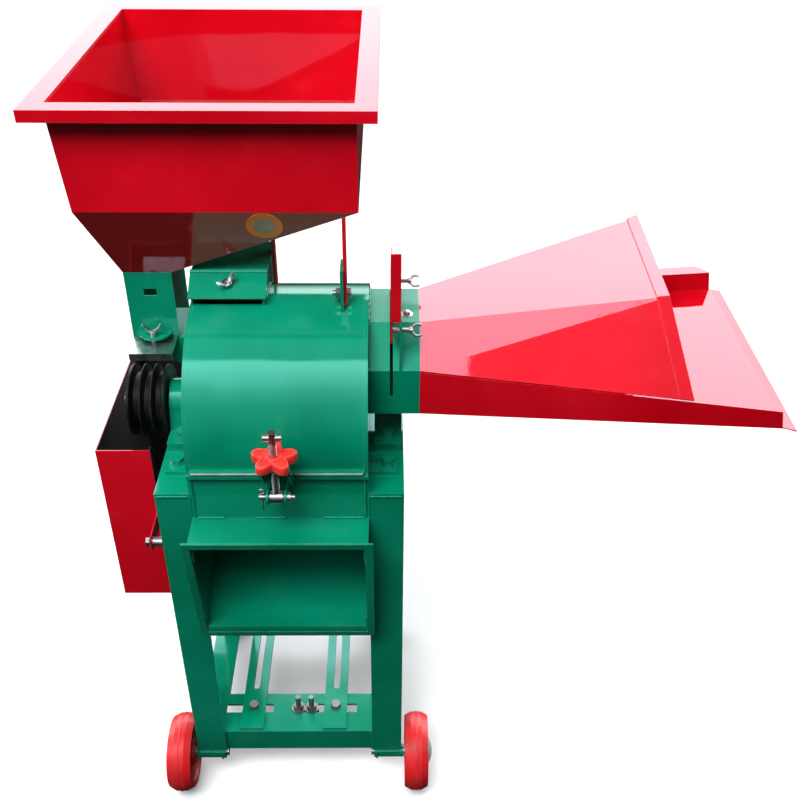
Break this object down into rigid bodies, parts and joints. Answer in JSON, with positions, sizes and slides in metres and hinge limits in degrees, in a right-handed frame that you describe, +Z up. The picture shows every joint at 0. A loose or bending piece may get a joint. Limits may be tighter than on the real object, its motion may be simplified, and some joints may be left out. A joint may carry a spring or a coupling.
{
  "type": "forage crusher",
  "caption": "Belt-driven straw cutter and grain crusher: steel drum on a wheeled angle-steel stand, with grain hopper, straw feed tray, front outlet, belt guard.",
  "frame": {"origin": "on the floor, under the middle of the machine's bounding box", "axes": "+X runs to the right as seen from the outlet, +Y runs from the outlet to the back, +Z is up"},
  "size_m": [1.171, 0.7816, 1.326],
  "materials": {
    "green_paint": "gloss enamel",
    "red_paint": "gloss enamel",
    "red_moulding": "moulded",
    "zinc_plate": "zinc plated",
    "galvanised_sheet": "galvanised",
    "bare_steel": "oiled mill steel",
    "black_iron": "black painted casting"
  },
  "bodies": {
    "frame": {"left_front_leg": "green_paint", "right_front_leg": "green_paint", "left_rear_leg": "green_paint", "right_rear_leg": "green_paint", "left_top_rail": "green_paint", "right_top_rail": "green_paint", "front_cross_rail": "green_paint", "rear_cross_rail": "green_paint", "lower_side_rails": "green_paint", "axle_brackets": "green_paint", "stub_axles": "zinc_plate", "hub_caps": "zinc_plate", "motor_rails": "green_paint", "motor_rail_bolts": "zinc_plate", "spare_bolts": "zinc_plate", "lower_housing": "green_paint", "sieve_screen": "bare_steel", "left_bearing_block": "green_paint", "right_bearing_block": "green_paint", "bearing_inserts": "bare_steel", "rail_bolts": "zinc_plate", "belt_guard": "red_paint", "guard_bolts": "zinc_plate", "clamp_ears": "green_paint", "clamp_pin": "zinc_plate", "clamp_split_pin": "zinc_plate", "cover_hinge_pin": "bare_steel"},
    "rotor": {"drive_shaft": "bare_steel", "drive_pulley": "black_iron", "rotor_discs": "bare_steel", "disc_spacers": "bare_steel", "hammer_pins": "bare_steel", "cutter_knives": "bare_steel"},
    "hammer_row_1": {"hammer_row_1": "bare_steel"},
    "hammer_row_2": {"hammer_row_2": "bare_steel"},
    "hammer_row_3": {"hammer_row_3": "bare_steel"},
    "left_wheel": {"left_wheel": "red_moulding"},
    "right_wheel": {"right_wheel": "red_moulding"},
    "cover": {"cover_shell": "green_paint", "left_cover_plate": "green_paint", "right_cover_plate": "green_paint", "cover_liner": "bare_steel", "hopper": "red_paint", "hopper_straps": "red_paint", "strap_bolts": "zinc_plate", "grain_spout": "green_paint", "discharge_box": "green_paint", "feed_collar": "green_paint", "feed_hood": "red_paint", "feed_tray": "red_paint"},
    "grain_gate": {"grain_gate": "galvanised_sheet"},
    "feed_gate": {"feed_gate": "red_paint"},
    "discharge_lid": {"discharge_lid": "green_paint"},
    "lid_wing_bolt": {"lid_wing_bolt": "zinc_plate"},
    "spout_wing_bolt": {"spout_wing_bolt": "zinc_plate"},
    "gate_wing_bolt": {"gate_wing_bolt": "zinc_plate"},
    "collar_wing_bolt": {"collar_wing_bolt": "zinc_plate"},
    "swing_bolt": {"swing_bolt": "zinc_plate", "clamp_saddle": "green_paint"},
    "star_knob": {"star_knob": "red_moulding"}
  },
  "joints": [
    {"name": "cover_hinge", "type": "hinge", "parent": "frame", "child": "cover", "pos_m": [-0.2455, 0.09681, 0.795], "axis": [-1, 0, 0], "range_deg": [0, 70]},
    {"name": "rotor_spin", "type": "hinge", "parent": "frame", "child": "rotor", "pos_m": [-0.2455, -0.11319, 0.795], "axis": [1, 0, 0], "continuous": true},
    {"name": "hammer_row_1_swing", "type": "hinge", "parent": "rotor", "child": "hammer_row_1", "pos_m": [-0.2455, -0.11319, 0.895], "axis": [1, 0, 0], "continuous": true},
    {"name": "hammer_row_2_swing", "type": "hinge", "parent": "rotor", "child": "hammer_row_2", "pos_m": [-0.2455, -0.19979, 0.745], "axis": [1, 0, 0], "continuous": true},
    {"name": "hammer_row_3_swing", "type": "hinge", "parent": "rotor", "child": "hammer_row_3", "pos_m": [-0.2455, -0.02658, 0.745], "axis": [1, 0, 0], "continuous": true},
    {"name": "left_wheel_spin", "type": "hinge", "parent": "frame", "child": "left_wheel", "pos_m": [-0.475, -0.30519, 0.075], "axis": [1, 0, 0], "continuous": true},
    {"name": "right_wheel_spin", "type": "hinge", "parent": "frame", "child": "right_wheel", "pos_m": [-0.016, -0.30519, 0.075], "axis": [1, 0, 0], "continuous": true},
    {"name": "swing_bolt_swing", "type": "hinge", "parent": "frame", "child": "swing_bolt", "pos_m": [-0.2425, -0.35919, 0.784], "axis": [1, 0, 0], "range_deg": [0, 90]},
    {"name": "star_knob_turn", "type": "hinge", "parent": "swing_bolt", "child": "star_knob", "pos_m": [-0.2425, -0.35919, 0.858], "axis": [0, 0, 1], "continuous": true},
    {"name": "discharge_lid_hinge", "type": "hinge", "parent": "cover", "child": "discharge_lid", "pos_m": [-0.3275, -0.09817, 1.03474], "axis": [-1, 0, 0], "range_deg": [0, 40]},
    {"name": "lid_wing_bolt_turn", "type": "hinge", "parent": "discharge_lid", "child": "lid_wing_bolt", "pos_m": [-0.3275, -0.12067, 1.02311], "axis": [0, -0.494, 0.8695], "continuous": true},
    {"name": "spout_wing_bolt_turn", "type": "hinge", "parent": "cover", "child": "spout_wing_bolt", "pos_m": [-0.4615, -0.10719, 0.923], "axis": [0, 0, 1], "continuous": true},
    {"name": "gate_wing_bolt_turn", "type": "hinge", "parent": "cover", "child": "gate_wing_bolt", "pos_m": [-0.041, -0.20119, 0.988], "axis": [1, 0, 0], "continuous": true},
    {"name": "collar_wing_bolt_turn", "type": "hinge", "parent": "cover", "child": "collar_wing_bolt", "pos_m": [-0.041, -0.05919, 0.998], "axis": [1, 0, 0], "continuous": true},
    {"name": "grain_gate_slide", "type": "slide", "parent": "cover", "child": "grain_gate", "axis": [0, -1, 0], "range_m": [0, 0.09]},
    {"name": "feed_gate_slide", "type": "slide", "parent": "cover", "child": "feed_gate", "axis": [0, 0, -1], "range_m": [0, 0.126]}
  ]
}
